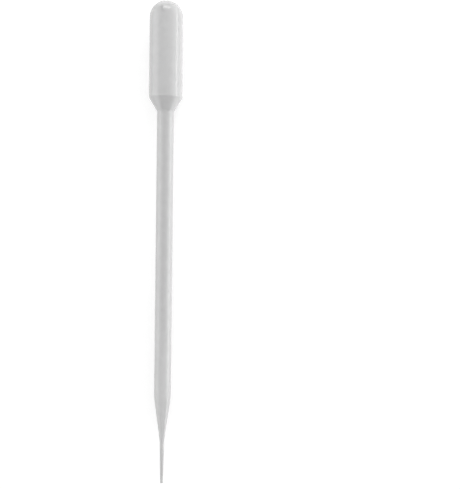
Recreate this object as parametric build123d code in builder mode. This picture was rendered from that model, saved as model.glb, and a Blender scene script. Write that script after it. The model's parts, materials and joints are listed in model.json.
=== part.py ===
from build123d import *

import os
from math import asin, atan2, cos, hypot, sin, tan

# Dropper pipette, blow moulded in one piece from low-density polyethylene: a squeeze bulb with a
# round end, a conical shoulder, a long plain stem, a straight taper and a drawn-out fine tip with
# an open mouth. The wall is hollow from the mouth to the round end, where a low weld shows that
# the mould pinched the tube shut.
#
# Frame: the pipette lies on the surface z = 0 as it comes to rest, bulb towards +Y. It touches
# the surface with the round of its shoulder and with the round at the foot of its stem, so its
# own axis slopes down a little towards the tip. The origin is under the middle of its length.

# ---- Driving dimensions, in millimetres ----

# Outside diameters
bulb_diameter = 10.7
stem_diameter = 5.4
tip_root_diameter = 1.5
tip_mouth_diameter = 0.9

# Lengths along the pipette's own axis
bulb_length = 30.7  # from the shoulder's corner to the apex of the round end
shoulder_length = 4.3
stem_length = 92.0
taper_length = 14.1
tip_length = 13.9

# Wall thicknesses, measured across the axis
bulb_wall = 0.45
stem_wall = 0.60
tip_root_wall = 0.35
tip_mouth_wall = 0.22

# Rounds between the straight stretches of the outside
shoulder_round = 0.4
neck_round = 1.0
stem_foot_round = 15.0
tip_root_round = 15.0

# Pinched weld across the round end, in the plane where the mould's halves met
weld_span = 7.0
weld_thickness = 0.4
weld_height = 0.12

# How far the mould's parting plane stands from upright, about the pipette's own axis, in degrees
parting_turn = 10

# ---- Stations along the pipette's own axis, from the mouth of the tip ----

tip_root = tip_length
stem_foot = tip_root + taper_length
neck = stem_foot + stem_length
shoulder = neck + shoulder_length
apex = shoulder + bulb_length
dome_centre = apex - bulb_diameter / 2

# ---- Resting pose ----

# The surface is the common tangent of the two rounds it touches. Each round is known by its
# radius and by its centre: the station where the round leaves the straight wall, and its
# distance from the axis.
bulb_radius = bulb_diameter / 2
stem_radius = stem_diameter / 2
shoulder_angle = atan2(bulb_radius - stem_radius, shoulder_length)
taper_angle = atan2(stem_radius - tip_root_diameter / 2, taper_length)

shoulder_round_station = shoulder + shoulder_round * tan(shoulder_angle / 2)
shoulder_round_offset = bulb_radius - shoulder_round
stem_foot_round_station = stem_foot + stem_foot_round * tan(taper_angle / 2)
stem_foot_round_offset = stem_radius - stem_foot_round

station_gap = shoulder_round_station - stem_foot_round_station
offset_gap = shoulder_round_offset - stem_foot_round_offset
radius_gap = shoulder_round - stem_foot_round
rest_angle = atan2(offset_gap, station_gap) + asin(radius_gap / hypot(offset_gap, station_gap))

mouth_height = (
    shoulder_round_offset * cos(rest_angle)
    + shoulder_round
    - shoulder_round_station * sin(rest_angle)
)
mouth_reach = tip_mouth_diameter / 2 * sin(rest_angle)
weld_reach = (apex + weld_height) * cos(rest_angle)
mouth_centre = (0, (mouth_reach - weld_reach) / 2, mouth_height)

long_direction = (0, cos(rest_angle), sin(rest_angle))
long_axis = Axis(mouth_centre, long_direction)

# The sections are drawn square to the parting plane, which stands upright when its turn is 0
section_direction = Vector(1, 0, 0).rotate(long_axis, 90 + parting_turn)
section_plane = Plane(origin=mouth_centre, x_dir=long_direction, z_dir=section_direction)
parting_plane = Plane(origin=mouth_centre, x_dir=long_direction, z_dir=section_plane.y_dir)


def half_section(mouth_radius, tip_root_radius, stem_radius, bulb_radius, rounds):
    """Half of the area under one skin, outside or inside, with the pipette's axis along X."""
    with BuildSketch() as half:
        with BuildLine():
            FilletPolyline(
                (0, mouth_radius),
                (tip_root, tip_root_radius),
                (stem_foot, stem_radius),
                (neck, stem_radius),
                (shoulder, bulb_radius),
                (dome_centre, bulb_radius),
                radius=rounds,
            )
            CenterArc((dome_centre, 0), bulb_radius, start_angle=0, arc_size=90)
            Polyline((dome_centre + bulb_radius, 0), (0, 0), (0, mouth_radius))
        make_face()
    return half.sketch


outside = half_section(
    tip_mouth_diameter / 2,
    tip_root_diameter / 2,
    stem_radius,
    bulb_radius,
    rounds=(tip_root_round, stem_foot_round, neck_round, shoulder_round),
)
inside = half_section(
    tip_mouth_diameter / 2 - tip_mouth_wall,
    tip_root_diameter / 2 - tip_root_wall,
    stem_radius - stem_wall,
    bulb_radius - bulb_wall,
    rounds=(
        tip_root_round + tip_root_wall,
        stem_foot_round + stem_wall,
        neck_round + stem_wall,
        shoulder_round + bulb_wall,
    ),
)

with BuildPart() as dropper_pipette:
    # Outside form
    with BuildSketch(section_plane):
        add(outside)
    revolve(axis=long_axis)

    # Weld: the rim of a disc in the parting plane, which stands proud of the dome at the apex and
    # sinks into it at both ends of the weld's span
    crest_reach = bulb_radius + weld_height
    foot_reach = (bulb_radius**2 - (weld_span / 2) ** 2) ** 0.5
    disc_shift = (crest_reach**2 - bulb_radius**2) / (2 * (crest_reach - foot_reach))
    with BuildSketch(parting_plane):
        with Locations((dome_centre + disc_shift, 0)):
            Circle(crest_reach - disc_shift)
    extrude(amount=weld_thickness / 2, both=True)

    # Cavity of the bulb, the stem and the tip, open at the mouth
    with BuildSketch(section_plane):
        add(inside)
    revolve(axis=long_axis, mode=Mode.SUBTRACT)

os.makedirs("parts", exist_ok=True)
dropper_pipette.part.label = "dropper_pipette"
export_step(dropper_pipette.part, "parts/dropper_pipette.step")
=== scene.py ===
"""Dresses the dropper pipette: a hollow polyethylene shell turned from its long section, the marks
that its mould left on it, a plain white board and soft studio light."""

from __future__ import annotations

import json
import logging
import math
from abc import ABC, abstractmethod
from collections.abc import Iterable
from dataclasses import dataclass
from enum import Enum, auto
from typing import Any

import bpy
from mathutils import Euler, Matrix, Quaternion, Vector

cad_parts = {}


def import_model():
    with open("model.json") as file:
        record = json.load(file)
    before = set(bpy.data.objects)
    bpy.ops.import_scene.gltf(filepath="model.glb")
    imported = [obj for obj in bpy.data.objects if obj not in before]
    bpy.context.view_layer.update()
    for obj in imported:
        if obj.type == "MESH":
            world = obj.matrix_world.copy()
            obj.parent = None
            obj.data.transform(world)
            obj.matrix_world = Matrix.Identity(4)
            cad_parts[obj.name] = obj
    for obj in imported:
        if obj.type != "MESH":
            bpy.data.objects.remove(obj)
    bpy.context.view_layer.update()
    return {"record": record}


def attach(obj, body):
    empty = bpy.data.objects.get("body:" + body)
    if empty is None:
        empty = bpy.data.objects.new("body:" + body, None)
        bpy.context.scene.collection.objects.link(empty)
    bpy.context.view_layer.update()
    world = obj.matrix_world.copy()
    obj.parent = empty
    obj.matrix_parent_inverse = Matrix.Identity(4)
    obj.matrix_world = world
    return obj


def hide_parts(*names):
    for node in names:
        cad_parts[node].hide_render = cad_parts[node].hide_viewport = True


LOG = logging.getLogger("dropper_pipette")
MM = 0.001
NODE = "dropper_pipette"
BODY = "root"
SLOT = "natural_polyethylene"

# Points of a turned mesh that are closer than this are one point
SAME_PLACE = 0.0001 * MM

# Places of the Mix node's colour sockets, which share their names with its other sockets
MIX_SHARE, MIX_FIRST, MIX_SECOND = 0, 6, 7
MIX_RESULT = 2


# ---------------------------------------------------------------- node trees


class Op(Enum):
    """The Math node's operations that the trees use, each by its own name."""

    ADD = auto()
    SUBTRACT = auto()
    MULTIPLY = auto()
    DIVIDE = auto()
    MAXIMUM = auto()
    GREATER_THAN = auto()
    ABSOLUTE = auto()
    SINE = auto()
    ARCTAN2 = auto()


class Ray(Enum):
    """The rays that show a background, each by its output on the Light Path node."""

    CAMERA = "Is Camera Ray"
    GLOSSY = "Is Glossy Ray"
    TRANSMISSION = "Is Transmission Ray"


@dataclass(frozen=True)
class Signal:
    """A value that leaves a node, and that takes part in plain arithmetic where it is a number."""

    sheet: Sheet
    socket: bpy.types.NodeSocket

    def __add__(self, other: Signal | float) -> Signal:
        """This plus other."""
        return self.sheet.maths(Op.ADD, self, other)

    def __radd__(self, other: float) -> Signal:
        """Other plus this."""
        return self.sheet.maths(Op.ADD, other, self)

    def __sub__(self, other: Signal | float) -> Signal:
        """This less other."""
        return self.sheet.maths(Op.SUBTRACT, self, other)

    def __rsub__(self, other: float) -> Signal:
        """Other less this."""
        return self.sheet.maths(Op.SUBTRACT, other, self)

    def __mul__(self, other: Signal | float) -> Signal:
        """This times other."""
        return self.sheet.maths(Op.MULTIPLY, self, other)

    def __rmul__(self, other: float) -> Signal:
        """Other times this."""
        return self.sheet.maths(Op.MULTIPLY, other, self)

    def __truediv__(self, other: Signal | float) -> Signal:
        """This over other."""
        return self.sheet.maths(Op.DIVIDE, self, other)

    def __rtruediv__(self, other: float) -> Signal:
        """Other over this."""
        return self.sheet.maths(Op.DIVIDE, other, self)

    def __gt__(self, other: Signal | float) -> Signal:
        """One where this is greater than other, and nought elsewhere."""
        return self.sheet.maths(Op.GREATER_THAN, self, other)

    def __neg__(self) -> Signal:
        """This with its sign turned."""
        return 0.0 - self

    def __abs__(self) -> Signal:
        """This without its sign."""
        return self.sheet.maths(Op.ABSOLUTE, self)

    def at_least(self, other: Signal | float) -> Signal:
        """The greater of this and other."""
        return self.sheet.maths(Op.MAXIMUM, self, other)

    def fade(self, near: Signal | float, far: Signal | float) -> Signal:
        """Falls smoothly from one to nought.

        Args:
            near: Where it starts to fall.
            far: Where it reaches nought.

        Returns:
            The falling number.
        """
        return self.sheet.add(
            "ShaderNodeMapRange",
            {"interpolation_type": "SMOOTHSTEP"},
            {"Value": self, "From Min": near, "From Max": far, "To Min": 1.0, "To Max": 0.0},
            "Result",
        )


class Sheet:
    """A node tree, with one method that makes any node of it."""

    def __init__(self, tree: bpy.types.NodeTree) -> None:
        """Wraps an empty tree."""
        self.tree = tree

    @classmethod
    def of(cls, data: bpy.types.Material | bpy.types.World) -> Sheet:
        """Empties the tree of a new material or world, to start from nothing.

        Args:
            data: The material or the world.

        Returns:
            Its tree.
        """
        data.use_nodes = True
        data.node_tree.nodes.clear()
        return cls(data.node_tree)

    def node(
        self,
        kind: str,
        settings: dict[str, Any] | None = None,
        sockets: dict[str | int, Any] | None = None,
    ) -> bpy.types.Node:
        """Makes a node of any type.

        Args:
            kind: The node's type.
            settings: Its own settings, which are set before its sockets.
            sockets: Values for its sockets, or signals to link to them, by name or place.

        Returns:
            The node.
        """
        made = self.tree.nodes.new(kind)
        for name, value in (settings or {}).items():
            setattr(made, name, value)
        for name, value in (sockets or {}).items():
            if isinstance(value, Signal):
                self.tree.links.new(value.socket, made.inputs[name])
            else:
                made.inputs[name].default_value = value
        return made

    def add(
        self,
        kind: str,
        settings: dict[str, Any] | None = None,
        sockets: dict[str | int, Any] | None = None,
        output: str | int = 0,
    ) -> Signal:
        """Makes a node and hands back one of its outputs.

        Args:
            kind: The node's type.
            settings: Its own settings.
            sockets: Values or signals for its sockets, by name or place.
            output: The output to hand back, by name or place.

        Returns:
            The output asked for.
        """
        return Signal(self, self.node(kind, settings, sockets).outputs[output])

    def outputs(self, made: bpy.types.Node, names: Iterable[str]) -> tuple[Signal, ...]:
        """The named outputs of a node."""
        return tuple(Signal(self, made.outputs[name]) for name in names)

    def maths(self, op: Op, first: Signal | float, second: Signal | float = 0.0) -> Signal:
        """The result of one operation on numbers."""
        return self.add("ShaderNodeMath", {"operation": op.name}, {0: first, 1: second})

    def vector(self, operation: str, *terms: Any, output: str = "Vector") -> Signal:
        """The result of one operation on vectors."""
        settings, sockets = {"operation": operation}, dict(enumerate(terms))
        return self.add("ShaderNodeVectorMath", settings, sockets, output)

    def parts(self, vector: Signal) -> tuple[Signal, ...]:
        """The X, Y and Z of a vector."""
        return self.outputs(self.node("ShaderNodeSeparateXYZ", None, {"Vector": vector}), "XYZ")

    def mix(self, share: Signal, first: Any, second: Any) -> Signal:
        """Mixes two colours.

        Args:
            share: The second colour's share, from nought to one.
            first: The first colour.
            second: The second colour.

        Returns:
            The mixed colour.
        """
        sockets = {MIX_SHARE: share, MIX_FIRST: first, MIX_SECOND: second}
        return self.add("ShaderNodeMix", {"data_type": "RGBA"}, sockets, MIX_RESULT)

    def white_for_rays(self, seen: Signal | float, mirrored: Signal | float) -> Signal:
        """Whitens a background for the rays that show it, and adds no light to the object.

        Args:
            seen: The strength for rays straight from the camera.
            mirrored: The strength for rays that come by a gloss or through a wall.

        Returns:
            The strength for any ray, nought for the rest.
        """
        path = self.node("ShaderNodeLightPath")
        straight, glossy, through = self.outputs(path, (ray.value for ray in Ray))
        return (straight * seen).at_least(glossy.at_least(through) * mirrored)


class Recipe(Sheet):
    """A geometry tree that grows a piece from a base curve, with named inputs for its sizes."""

    def __init__(self, name: str, inputs: dict[str, tuple[str, Any]]) -> None:
        """Starts a tree with a geometry socket at each end and its named inputs.

        Args:
            name: The tree's name.
            inputs: Each input's name, with its socket type and value.
        """
        super().__init__(bpy.data.node_groups.new(name, "GeometryNodeTree"))
        face = self.tree.interface
        face.new_socket("Geometry", in_out="INPUT", socket_type="NodeSocketGeometry")
        face.new_socket("Geometry", in_out="OUTPUT", socket_type="NodeSocketGeometry")
        self.values: dict[str, Any] = {}
        for label, (socket_type, value) in inputs.items():
            socket = face.new_socket(label, in_out="INPUT", socket_type=socket_type)
            self.values[socket.identifier] = value
        self.entry = self.node("NodeGroupInput")

    def given(self, name: str) -> Signal:
        """The named input, as a signal."""
        return Signal(self, self.entry.outputs[name])

    def rounded(self, line: Signal, steps: Signal) -> Signal:
        """Rounds a line's corners by the radius that each point keeps.

        Args:
            line: The line.
            steps: How many points each round gets.

        Returns:
            The rounded line.
        """
        radius = self.add("GeometryNodeInputRadius")
        return self.add(
            "GeometryNodeFilletCurve",
            {"mode": "POLY"},
            {"Curve": line, "Count": steps, "Radius": radius, "Limit Radius": True},
        )

    def divided(self, line: Signal, spacing: Signal) -> Signal:
        """Divides the straight stretches of a line, whose other points stay where they are.

        Args:
            line: The line.
            spacing: The longest stretch to leave whole.

        Returns:
            The divided line.
        """
        along = self.add("GeometryNodeSplineParameter", output="Length")
        after = self.add("GeometryNodeInputIndex") + 1
        next_along = self.add(
            "GeometryNodeFieldAtIndex",
            {"domain": "POINT", "data_type": "FLOAT"},
            {"Index": after, "Value": along},
        )
        cuts = (next_along - along) / spacing
        return self.add("GeometryNodeSubdivideCurve", None, {"Curve": line, "Cuts": cuts})

    def turned(self, profile: Signal, radius: Signal, steps: Signal) -> Signal:
        """Turns a profile about the Z axis and closes the mesh where the turn ends.

        Args:
            profile: The profile, with its distance from the axis along X and its length along Y.
            radius: The radius of the circle that carries it, at least the profile's own reach.
            steps: How many columns the mesh gets.

        Returns:
            The turned mesh.
        """
        inward = self.add("ShaderNodeCombineXYZ", None, {"X": -radius})
        shifted = self.add(
            "GeometryNodeSetPosition", None, {"Geometry": profile, "Offset": inward}
        )
        circle = self.add(
            "GeometryNodeCurvePrimitiveCircle", None, {"Resolution": steps, "Radius": radius}
        )
        open_mesh = self.add(
            "GeometryNodeCurveToMesh", None, {"Curve": circle, "Profile Curve": shifted}
        )
        return self.add(
            "GeometryNodeMergeByDistance", None, {"Geometry": open_mesh, "Distance": SAME_PLACE}
        )

    def finish(self, geometry: Signal, material: bpy.types.Material) -> None:
        """Ends the tree in plain smooth geometry with one material.

        Args:
            geometry: The grown geometry.
            material: The material of all its faces.
        """
        real = self.add("GeometryNodeRealizeInstances", None, {"Geometry": geometry})
        smooth = self.add("GeometryNodeSetShadeSmooth", None, {"Geometry": real})
        dressed = self.add(
            "GeometryNodeSetMaterial", None, {"Geometry": smooth, "Material": material}
        )
        self.node("NodeGroupOutput", None, {"Geometry": dressed})

    def grow(self, base: bpy.types.Object, name: str) -> bpy.types.Object:
        """Runs the tree on a base curve and keeps the result as a plain mesh piece.

        Args:
            base: The base curve's object, which is used up.
            name: The new piece's name.

        Returns:
            The new piece, at the origin and linked to the scene.
        """
        modifier = base.modifiers.new(name, "NODES")
        modifier.node_group = self.tree
        for identifier, value in self.values.items():
            modifier[identifier] = value
        graph = bpy.context.evaluated_depsgraph_get()
        mesh = bpy.data.meshes.new_from_object(base.evaluated_get(graph), depsgraph=graph)
        mesh.name = name
        bpy.data.objects.remove(base)
        return in_scene(name, mesh)


def in_scene(name: str, data: bpy.types.ID) -> bpy.types.Object:
    """Puts a new object in the scene, at the origin.

    Args:
        name: The object's name.
        data: Its mesh, curve, lamp or camera.

    Returns:
        The object.
    """
    made = bpy.data.objects.new(name, data)
    bpy.context.scene.collection.objects.link(made)
    return made


def rectangle(name: str, size: tuple[float, float]) -> bpy.types.Mesh:
    """Makes a flat rectangle around the origin.

    Args:
        name: Its name.
        size: Its size along X and Y.

    Returns:
        Its mesh.
    """
    mesh = bpy.data.meshes.new(name)
    x, y = size[0] / 2, size[1] / 2
    mesh.from_pydata([(-x, -y, 0), (x, -y, 0), (x, y, 0), (-x, y, 0)], [], [(0, 1, 2, 3)])
    return mesh


# ------------------------------------------------------------------ sizes


@dataclass(frozen=True)
class Corner:
    """A corner of the long section: its distance from the axis, its station and its round."""

    radius: float
    station: float
    round: float = 0.0


@dataclass(frozen=True)
class Sizes:
    """The pipette's sizes, from the frame where it states them, in metres.

    Stations run along the pipette's own axis from the mouth of the tip.
    """

    mouth: Vector
    towards_bulb: Vector
    bulb_radius: float
    stem_radius: float
    bulb_middle: float
    bulb_straight: float
    tip_root_radius: float = 0.75 * MM
    tip_mouth_radius: float = 0.45 * MM
    tip_length: float = 13.9 * MM
    taper_length: float = 14.1 * MM
    shoulder_length: float = 4.3 * MM
    bulb_wall: float = 0.45 * MM
    stem_wall: float = 0.60 * MM
    tip_root_wall: float = 0.35 * MM
    tip_mouth_wall: float = 0.22 * MM
    shoulder_round: float = 0.4 * MM
    neck_round: float = 1.0 * MM
    stem_foot_round: float = 15.0 * MM
    tip_root_round: float = 15.0 * MM
    mouth_edge_round: float = 0.04 * MM
    weld_span: float = 7.0 * MM
    weld_thickness: float = 0.4 * MM
    weld_height: float = 0.12 * MM
    parting_turn: float = math.radians(10)

    @classmethod
    def from_record(cls, record: dict[str, Any]) -> Sizes:
        """Reads the axis, the mouth, the stem and the bulb from the record's mounts.

        Args:
            record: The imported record.

        Returns:
            The pipette's sizes.
        """
        mounts = {m["name"]: m for m in record["mounts"]}
        mouth = Vector(mounts["tip_mouth"]["pos_m"])
        towards_bulb = Vector(mounts["bulb"]["axis"]).normalized()
        return cls(
            mouth=mouth,
            towards_bulb=towards_bulb,
            bulb_radius=mounts["bulb"]["dims"]["r_mm"] * MM,
            stem_radius=mounts["stem"]["dims"]["r_mm"] * MM,
            bulb_middle=(Vector(mounts["bulb"]["pos_m"]) - mouth).dot(towards_bulb),
            bulb_straight=mounts["bulb"]["dims"]["length_mm"] * MM,
        )

    @property
    def stem_foot(self) -> float:
        """The station where the stem's wall would meet the taper's."""
        return self.tip_length + self.taper_length

    @property
    def dome_centre(self) -> float:
        """The station of the middle of the round end."""
        return self.bulb_middle + self.bulb_straight / 2

    @property
    def apex(self) -> float:
        """The station of the end of the bulb."""
        return self.dome_centre + self.bulb_radius

    @property
    def shoulder(self) -> float:
        """The station of the shoulder's corner, which its round cuts off.

        Returns:
            The station.
        """
        half_turn = math.atan2(self.bulb_radius - self.stem_radius, self.shoulder_length) / 2
        straight_end = self.bulb_middle - self.bulb_straight / 2
        return straight_end - self.shoulder_round * math.tan(half_turn)

    @property
    def neck(self) -> float:
        """The station where the shoulder's cone meets the stem."""
        return self.shoulder - self.shoulder_length

    @property
    def lean(self) -> float:
        """How far the pipette's axis rises towards the bulb, in radians."""
        return math.atan2(self.towards_bulb.z, self.towards_bulb.y)

    @property
    def pose(self) -> Euler:
        """The turn that lays down a pipette whose mouth looks along Z, its parting plane on YZ."""
        roll = Quaternion((0, 0, 1), -self.parting_turn)
        return (Quaternion((1, 0, 0), self.lean + math.pi / 2) @ roll).to_euler()

    def outside(self) -> list[Corner]:
        """Lists the corners of the outside skin.

        Returns:
            The corners, from the mouth to the end of the bulb.
        """
        return [
            Corner(self.tip_mouth_radius, 0, self.mouth_edge_round),
            Corner(self.tip_root_radius, self.tip_length, self.tip_root_round),
            Corner(self.stem_radius, self.stem_foot, self.stem_foot_round),
            Corner(self.stem_radius, self.neck, self.neck_round),
            Corner(self.bulb_radius, self.shoulder, self.shoulder_round),
            Corner(self.bulb_radius, self.apex, self.bulb_radius),
        ]

    def inside(self) -> list[Corner]:
        """Lists the corners of the inside skin, a wall's thickness in from the outside.

        Returns:
            The corners, from the mouth to the end of the bulb.
        """
        walls = (
            self.tip_mouth_wall,
            self.tip_root_wall,
            self.stem_wall,
            self.stem_wall,
            self.bulb_wall,
        )
        skin = [
            Corner(corner.radius - wall, corner.station, corner.round + wall)
            for corner, wall in zip(self.outside(), walls)
        ]
        skin[0] = Corner(skin[0].radius, 0, self.mouth_edge_round)
        bore = self.bulb_radius - self.bulb_wall
        return [*skin, Corner(bore, self.dome_centre + bore, bore)]

    def section(self) -> list[Corner]:
        """Lists the corners of the wall's section, round both skins.

        Returns:
            The corners, from the axis inside the round end to the axis outside it.
        """
        outside, inside = self.outside(), self.inside()
        start, end = Corner(0, inside[-1].station), Corner(0, outside[-1].station)
        return [start, *reversed(inside), *outside, end]


# ------------------------------------------------------------------ finishes


def grey(shade: float) -> tuple[float, float, float, float]:
    """A neutral colour."""
    return (shade, shade, shade, 1.0)


@dataclass(frozen=True, kw_only=True)
class Finish(ABC):
    """A surface finish, from which its material is made."""

    name: str

    @abstractmethod
    def surface(self, sheet: Sheet) -> Signal:
        """The shader of the finish, added to a material's tree."""

    def material(self) -> bpy.types.Material:
        """Makes the material.

        Returns:
            The finished material.
        """
        made = bpy.data.materials.new(self.name)
        sheet = Sheet.of(made)
        sheet.node("ShaderNodeOutputMaterial", None, {"Surface": self.surface(sheet)})
        return made


@dataclass(frozen=True, kw_only=True)
class Polyethylene(Finish):
    """Natural low-density polyethylene: milky, lit through its wall, with a soft gloss.

    Its patterns follow the pipette's own axis from the mouth of the tip. The tip's shade is full
    up to the first of two stations and gone at the second.
    """

    mouth: Vector
    lean: float
    name: str = SLOT
    shade: float = 0.72
    tip_shade: float = 0.66
    tip_reach: tuple[float, float] = (6.0 * MM, 16.0 * MM)
    scatter_length: float = 0.5 * MM
    refraction: float = 1.51
    gloss_level: float = 1.0
    roughness: float = 0.12
    roughness_spread: float = 0.04
    cloud_depth: float = 0.04
    cloud_size: float = 2.5 * MM
    peel_height: float = 0.003 * MM
    peel_size: float = 1.1 * MM
    draw_line_height: float = 0.003 * MM
    draw_lines_per_turn: float = 7.0
    draw_line_length: float = 30.0 * MM

    def noise(self, sheet: Sheet, place: Signal, scale: float, detail: float = 2.0) -> Signal:
        """Adds a soft noise pattern.

        Args:
            sheet: The tree to add to.
            place: The coordinates that it reads.
            scale: How many of its cells fit in one unit of them.
            detail: How many finer layers it has.

        Returns:
            A number around a half.
        """
        sockets = {"Vector": place, "Scale": scale, "Detail": detail}
        return sheet.add("ShaderNodeTexNoise", None, sockets, "Fac")

    def draw_lines(self, sheet: Sheet, place: Signal) -> Signal:
        """Adds the long faint lines that the die left as it drew the tube out.

        Args:
            sheet: The tree to add to.
            place: The coordinates, with the pipette's axis along Y.

        Returns:
            A number around a half.
        """
        rate = self.draw_lines_per_turn / 2
        round_axis = sheet.vector("NORMALIZE", sheet.vector("MULTIPLY", place, (1, 0, 1)))
        turned = sheet.vector("MULTIPLY", round_axis, (rate, 0, rate))
        along = sheet.vector("MULTIPLY", place, (0, 1 / self.draw_line_length, 0))
        return self.noise(sheet, sheet.vector("ADD", turned, along), scale=1.0)

    def surface(self, sheet: Sheet) -> Signal:
        """Builds the shader.

        Args:
            sheet: The tree to add to.

        Returns:
            The shader.
        """
        here = sheet.add("ShaderNodeTexCoord", output="Object")
        place = sheet.add(
            "ShaderNodeMapping",
            {"vector_type": "TEXTURE"},
            {"Vector": here, "Location": self.mouth, "Rotation": (self.lean, 0, 0)},
        )
        _, station, _ = sheet.parts(place)
        cloud = self.noise(sheet, place, 1 / self.cloud_size)
        peel = self.noise(sheet, place, 1 / self.peel_size, detail=1.0)
        lines = self.draw_lines(sheet, place)
        clouded = sheet.mix(
            cloud, grey(self.shade - self.cloud_depth), grey(self.shade + self.cloud_depth)
        )
        height = peel * self.peel_height + lines * self.draw_line_height
        relief = sheet.add("ShaderNodeBump", None, {"Distance": 1.0, "Height": height})
        return sheet.add(
            "ShaderNodeBsdfPrincipled",
            {"subsurface_method": "RANDOM_WALK"},
            {
                "Base Color": sheet.mix(
                    station.fade(*self.tip_reach), clouded, grey(self.tip_shade)
                ),
                "Roughness": (lines - 0.5) * self.roughness_spread + self.roughness,
                "IOR": self.refraction,
                "Normal": relief,
                "Specular IOR Level": self.gloss_level,
                "Subsurface Weight": 1.0,
                "Subsurface Radius": (1.0, 1.0, 1.0),
                "Subsurface Scale": self.scatter_length,
            },
        )


@dataclass(frozen=True, kw_only=True)
class Matt(Finish):
    """A matt surface of one grey."""

    shade: float

    def surface(self, sheet: Sheet) -> Signal:
        """The shader, which is plain diffuse."""
        return sheet.add("ShaderNodeBsdfDiffuse", None, {"Color": grey(self.shade)})


@dataclass(frozen=True, kw_only=True)
class WhiteBoard(Matt):
    """The matt white board underneath, plain white around the object's shadow.

    A gloss mirrors it white as well, but its glow for the gloss carries a painted shadow: it is
    dimmer on the shaded side close to the object, as far as past the bulb's end, and full on the
    lit side. Each range runs from where a change begins to where it ends, in metres.
    """

    name: str = "white_board"
    shade: float = 0.9
    seen: float = 0.40
    seen_far: float = 0.53
    far: tuple[float, float] = (0.2, 1.2)
    painted_shadow_glow: float = 0.3
    lit_side: tuple[float, float] = (2 * MM, 14 * MM)
    shaded_side: tuple[float, float] = (30 * MM, 150 * MM)
    past_bulb: tuple[float, float] = (66 * MM, 104 * MM)

    def surface(self, sheet: Sheet) -> Signal:
        """Builds the shader.

        Args:
            sheet: The tree to add to.

        Returns:
            The shader.
        """
        place = sheet.add("ShaderNodeTexCoord", output="Object")
        x, y, _ = sheet.parts(place)
        near = sheet.vector("LENGTH", place, output="Value").fade(*self.far)
        seen = self.seen_far - (self.seen_far - self.seen) * near
        # Painted shadow: the glow that a gloss mirrors is dimmed beside the object on its shaded
        # side, up to past the bulb
        beside = x.fade(*self.lit_side) * (-x).fade(*self.shaded_side)
        dim = beside * (y - abs(x)).fade(*self.past_bulb)
        strength = sheet.white_for_rays(seen, 1 - dim * (1 - self.painted_shadow_glow))
        glow = sheet.add("ShaderNodeEmission", None, {"Strength": strength})
        return sheet.add("ShaderNodeAddShader", None, {0: super().surface(sheet), 1: glow})


# ------------------------------------------------------------------ pipette


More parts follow.
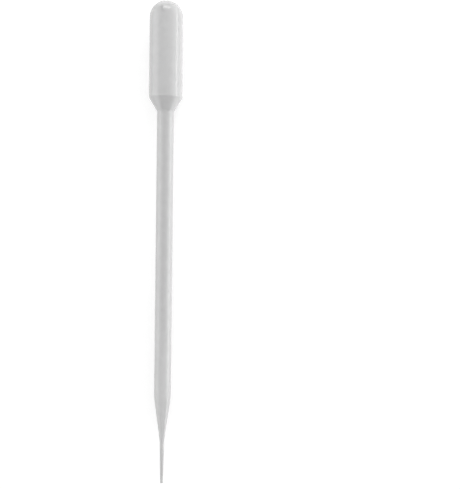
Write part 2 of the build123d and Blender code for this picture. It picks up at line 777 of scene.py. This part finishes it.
@dataclass
class Pipette:
    """The moulded pipette: its shell and the marks of its mould.

    Its mesh has so many columns round a turn, so many points on each round, and rings no further
    apart than the spacing. The gathering, from nought to one, is how strongly the columns crowd
    towards the parting plane. The line is the one that the mould left along both sides.
    """

    sizes: Sizes
    turn_steps: int = 144
    round_steps: int = 28
    ring_spacing: float = 2.0 * MM
    gathering: float = 0.85
    line_width: float = 0.12 * MM
    line_height: float = 0.01 * MM

    def base(self) -> bpy.types.Object:
        """Makes an open curve round the wall's section, whose points keep their rounds as radii.

        Returns:
            The curve's object, with distance from the axis along X and stations along Y.
        """
        corners = self.sizes.section()
        curve = bpy.data.curves.new("long_section", "CURVE")
        curve.dimensions = "3D"
        line = curve.splines.new("POLY")
        line.points.add(len(corners) - 1)
        for point, corner in zip(line.points, corners):
            point.co = (corner.radius, corner.station, 0, 1)
            point.radius = corner.round
        return in_scene("long_section", curve)

    def shell(self) -> bpy.types.Object:
        """Turns the wall's section about the axis, marks it and lays it down.

        Returns:
            The hollow shell, a closed mesh in its place.
        """
        sizes = self.sizes
        recipe = Recipe(
            "turned_shell",
            {
                "Round Steps": ("NodeSocketInt", self.round_steps),
                "Turn Steps": ("NodeSocketInt", self.turn_steps),
                "Ring Spacing": ("NodeSocketFloat", self.ring_spacing),
                "Turning Radius": ("NodeSocketFloat", sizes.bulb_radius),
                "Gathering": ("NodeSocketFloat", self.gathering),
                "Dome Centre": ("NodeSocketFloat", sizes.dome_centre),
                "Line Width": ("NodeSocketFloat", self.line_width),
                "Line Height": ("NodeSocketFloat", self.line_height),
                "Weld Span": ("NodeSocketFloat", sizes.weld_span),
                "Weld Thickness": ("NodeSocketFloat", sizes.weld_thickness),
                "Weld Height": ("NodeSocketFloat", sizes.weld_height),
                "Mouth": ("NodeSocketVector", sizes.mouth),
                "Pose": ("NodeSocketRotation", sizes.pose),
            },
        )
        given = recipe.given
        rounded = recipe.rounded(given("Geometry"), given("Round Steps"))
        ringed = recipe.divided(rounded, given("Ring Spacing"))
        turned = recipe.turned(ringed, given("Turning Radius"), given("Turn Steps"))
        marked = self.marked(recipe, self.gathered(recipe, turned))
        placed = recipe.add(
            "GeometryNodeTransform",
            None,
            {"Geometry": marked, "Translation": given("Mouth"), "Rotation": given("Pose")},
        )
        polyethylene = Polyethylene(mouth=sizes.mouth, lean=sizes.lean)
        recipe.finish(placed, polyethylene.material())
        return recipe.grow(self.base(), "hollow_shell")

    def gathered(self, recipe: Recipe, turned: Signal) -> Signal:
        """Draws the turned columns together where the mould's halves met.

        Args:
            recipe: The tree to add to.
            turned: The evenly turned shell, with its axis along Z.

        Returns:
            The shell, with fine columns there to carry the marks.
        """
        place = recipe.add("GeometryNodeInputPosition")
        x, y, _ = recipe.parts(place)
        twice = recipe.maths(Op.ARCTAN2, x, y) * 2
        back = recipe.given("Gathering") * recipe.maths(Op.SINE, twice) / 2
        drawn = recipe.add("ShaderNodeVectorRotate", None, {"Vector": place, "Angle": back})
        return recipe.add(
            "GeometryNodeSetPosition", None, {"Geometry": turned, "Position": drawn}
        )

    def marked(self, recipe: Recipe, plain: Signal) -> Signal:
        """Raises the mould's marks from the outside skin: the parting line and the end weld.

        The line rises to a soft crest. The weld is flat over half its thickness, and it sinks into
        the round end at both ends of its span.

        Args:
            recipe: The tree to add to.
            plain: The shell without its marks.

        Returns:
            The marked shell.
        """
        given = recipe.given
        normal = recipe.add("GeometryNodeInputNormal")
        x, y, z = recipe.parts(recipe.add("GeometryNodeInputPosition"))
        past_centre = (-z - given("Dome Centre")).at_least(0.0)
        outward = recipe.add("ShaderNodeCombineXYZ", None, {"X": x, "Y": y, "Z": -past_centre})
        facing = recipe.vector("DOT_PRODUCT", normal, outward, output="Value")
        width = abs(x)
        line = width.fade(0.0, given("Line Width") / 2) * given("Line Height")
        half_span = given("Weld Span") / 2
        along = (x * x + y * y) / (half_span * half_span)
        crest = (1 - along).at_least(0.0) * (past_centre > 0.0) * given("Weld Height")
        half_weld = given("Weld Thickness") / 2
        weld = width.fade(half_weld / 2, half_weld) * crest
        rise = recipe.add(
            "ShaderNodeVectorMath",
            {"operation": "SCALE"},
            {0: normal, "Scale": (facing > 0.0) * (line + weld)},
        )
        return recipe.add("GeometryNodeSetPosition", None, {"Geometry": plain, "Offset": rise})


# ------------------------------------------------------------------ studio


@dataclass(frozen=True)
class Panel(ABC):
    """A flat panel that faces the pipette and that the camera doesn't see.

    Its turn from +Y towards +X, its height over the board, and how wide and tall it looks from
    the pipette are in degrees. Its distance is in metres.
    """

    name: str
    turn: float
    height: float
    width: float
    tallness: float
    distance: float

    @property
    def away(self) -> Vector:
        """The direction from the pipette to the panel, a unit vector.

        Returns:
            The direction.
        """
        turn, height = math.radians(self.turn), math.radians(self.height)
        level = math.cos(height)
        return Vector((math.sin(turn) * level, math.cos(turn) * level, math.sin(height)))

    @property
    def size(self) -> tuple[float, ...]:
        """Its width and its height, in metres."""
        halves = (math.radians(angle) / 2 for angle in (self.width, self.tallness))
        return tuple(2 * self.distance * math.tan(half) for half in halves)

    def hung(self, data: bpy.types.ID) -> bpy.types.Object:
        """Hangs the panel in its place.

        Args:
            data: The lamp or the mesh, which lies in its own XY plane.

        Returns:
            The panel's object.
        """
        made = in_scene(self.name, data)
        made.location = self.away * self.distance
        made.rotation_euler = self.away.to_track_quat("Z", "Y").to_euler()
        made.visible_camera = False
        return made

    @abstractmethod
    def hang(self) -> bpy.types.Object:
        """Makes the panel and hangs it."""


@dataclass(frozen=True)
class Softbox(Panel):
    """A soft lamp, with how bright its face looks, where one is white."""

    strength: float

    def hang(self) -> bpy.types.Object:
        """Hangs the lamp.

        Returns:
            Its object.
        """
        data = bpy.data.lights.new(self.name, "AREA")
        data.shape = "RECTANGLE"
        data.size, data.size_y = self.size
        # A face of one square metre that looks white gives out pi watts
        data.energy = self.strength * math.pi * data.size * data.size_y
        return self.hung(data)


@dataclass(frozen=True)
class Card(Panel):
    """A matt card, which gives the gloss a darker edge and casts no shade of its own."""

    shade: float

    def hang(self) -> bpy.types.Object:
        """Hangs the card.

        Returns:
            Its object.
        """
        mesh = rectangle(self.name, self.size)
        mesh.materials.append(Matt(name="matt_card", shade=self.shade).material())
        made = self.hung(mesh)
        made.visible_diffuse = False
        made.visible_shadow = False
        return made


# Each lamp and card, with its turn, height, width, tallness and distance. The cards darken what
# the gloss mirrors beside the round end's highlight, on the shoulder's cone and along the stem.
PANELS = (
    Softbox("left", -92, 22, 80, 46, 1.0, strength=0.31),
    Softbox("left_core", -84, 18, 56, 32, 1.0, strength=0.40),
    Softbox("right", 80, 19, 88, 38, 1.0, strength=0.55),
    Softbox("right_low", 84, 7, 98, 14, 1.0, strength=1.40),
    Softbox("head", 3, 28, 38, 17, 1.0, strength=2.1),
    Card("dome_edge", -23, 31, 14, 56, 0.6, shade=0.02),
    Card("cone_edge", 170, 22, 96, 42, 0.6, shade=0.52),
    Card("stem_top", 90, 80, 27, 64, 0.6, shade=0.65),
)


@dataclass
class Studio:
    """The white board, the soft lights and the camera straight above.

    The ambient light is the strength of the room's even light. The lens is in millimetres.
    """

    panels: tuple[Panel, ...] = PANELS
    ambient: float = 0.57
    board_size: float = 6.0
    lens: float = 52.34
    camera_height: float = 232.7 * MM
    camera_shift: tuple[float, float] = (21.2 * MM, 0.14 * MM)
    camera_roll: float = math.radians(0.78)

    def camera(self) -> bpy.types.Object:
        """Hangs the camera straight above the board, a little to the pipette's right.

        Returns:
            The camera's object.
        """
        data = bpy.data.cameras.new("overhead")
        data.lens = self.lens
        made = in_scene("overhead", data)
        made.location = (*self.camera_shift, self.camera_height)
        made.rotation_euler = (0, 0, self.camera_roll)
        bpy.context.scene.camera = made
        return made

    def board(self) -> bpy.types.Object:
        """Lays the white board under the pipette.

        Returns:
            The board's object.
        """
        mesh = rectangle("board", (self.board_size, self.board_size))
        mesh.materials.append(WhiteBoard().material())
        made = in_scene("board", mesh)
        return made

    def world(self) -> None:
        """Fills the room with even light, plain white where it is seen or mirrored."""
        made = bpy.data.worlds.new("room")
        sheet = Sheet.of(made)
        rest = 1 - self.ambient
        strength = sheet.white_for_rays(rest, rest) + self.ambient
        sockets = {"Color": grey(1.0), "Strength": strength}
        light = sheet.add("ShaderNodeBackground", None, sockets)
        sheet.node("ShaderNodeOutputWorld", None, {"Surface": light})
        bpy.context.scene.world = made

    def set_up(self) -> list[bpy.types.Object]:
        """Builds the whole studio.

        Returns:
            The board, the camera, the lamps and the cards.
        """
        bpy.context.scene.view_settings.view_transform = "Standard"
        self.world()
        return [self.board(), self.camera(), *(panel.hang() for panel in self.panels)]


def main() -> None:
    """Builds the pipette around the frame, then the studio, and reports each piece."""
    logging.basicConfig(level=logging.INFO, format="%(name)s: %(message)s")
    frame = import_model()
    pipette = Pipette(Sizes.from_record(frame["record"]))
    shell = pipette.shell()
    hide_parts(NODE)
    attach(shell, BODY)
    LOG.info("%s: %d faces in place of %s", shell.name, len(shell.data.polygons), NODE)
    for made in Studio().set_up():
        LOG.info("studio: %s", made.name)


if __name__ == "__main__":
    main()
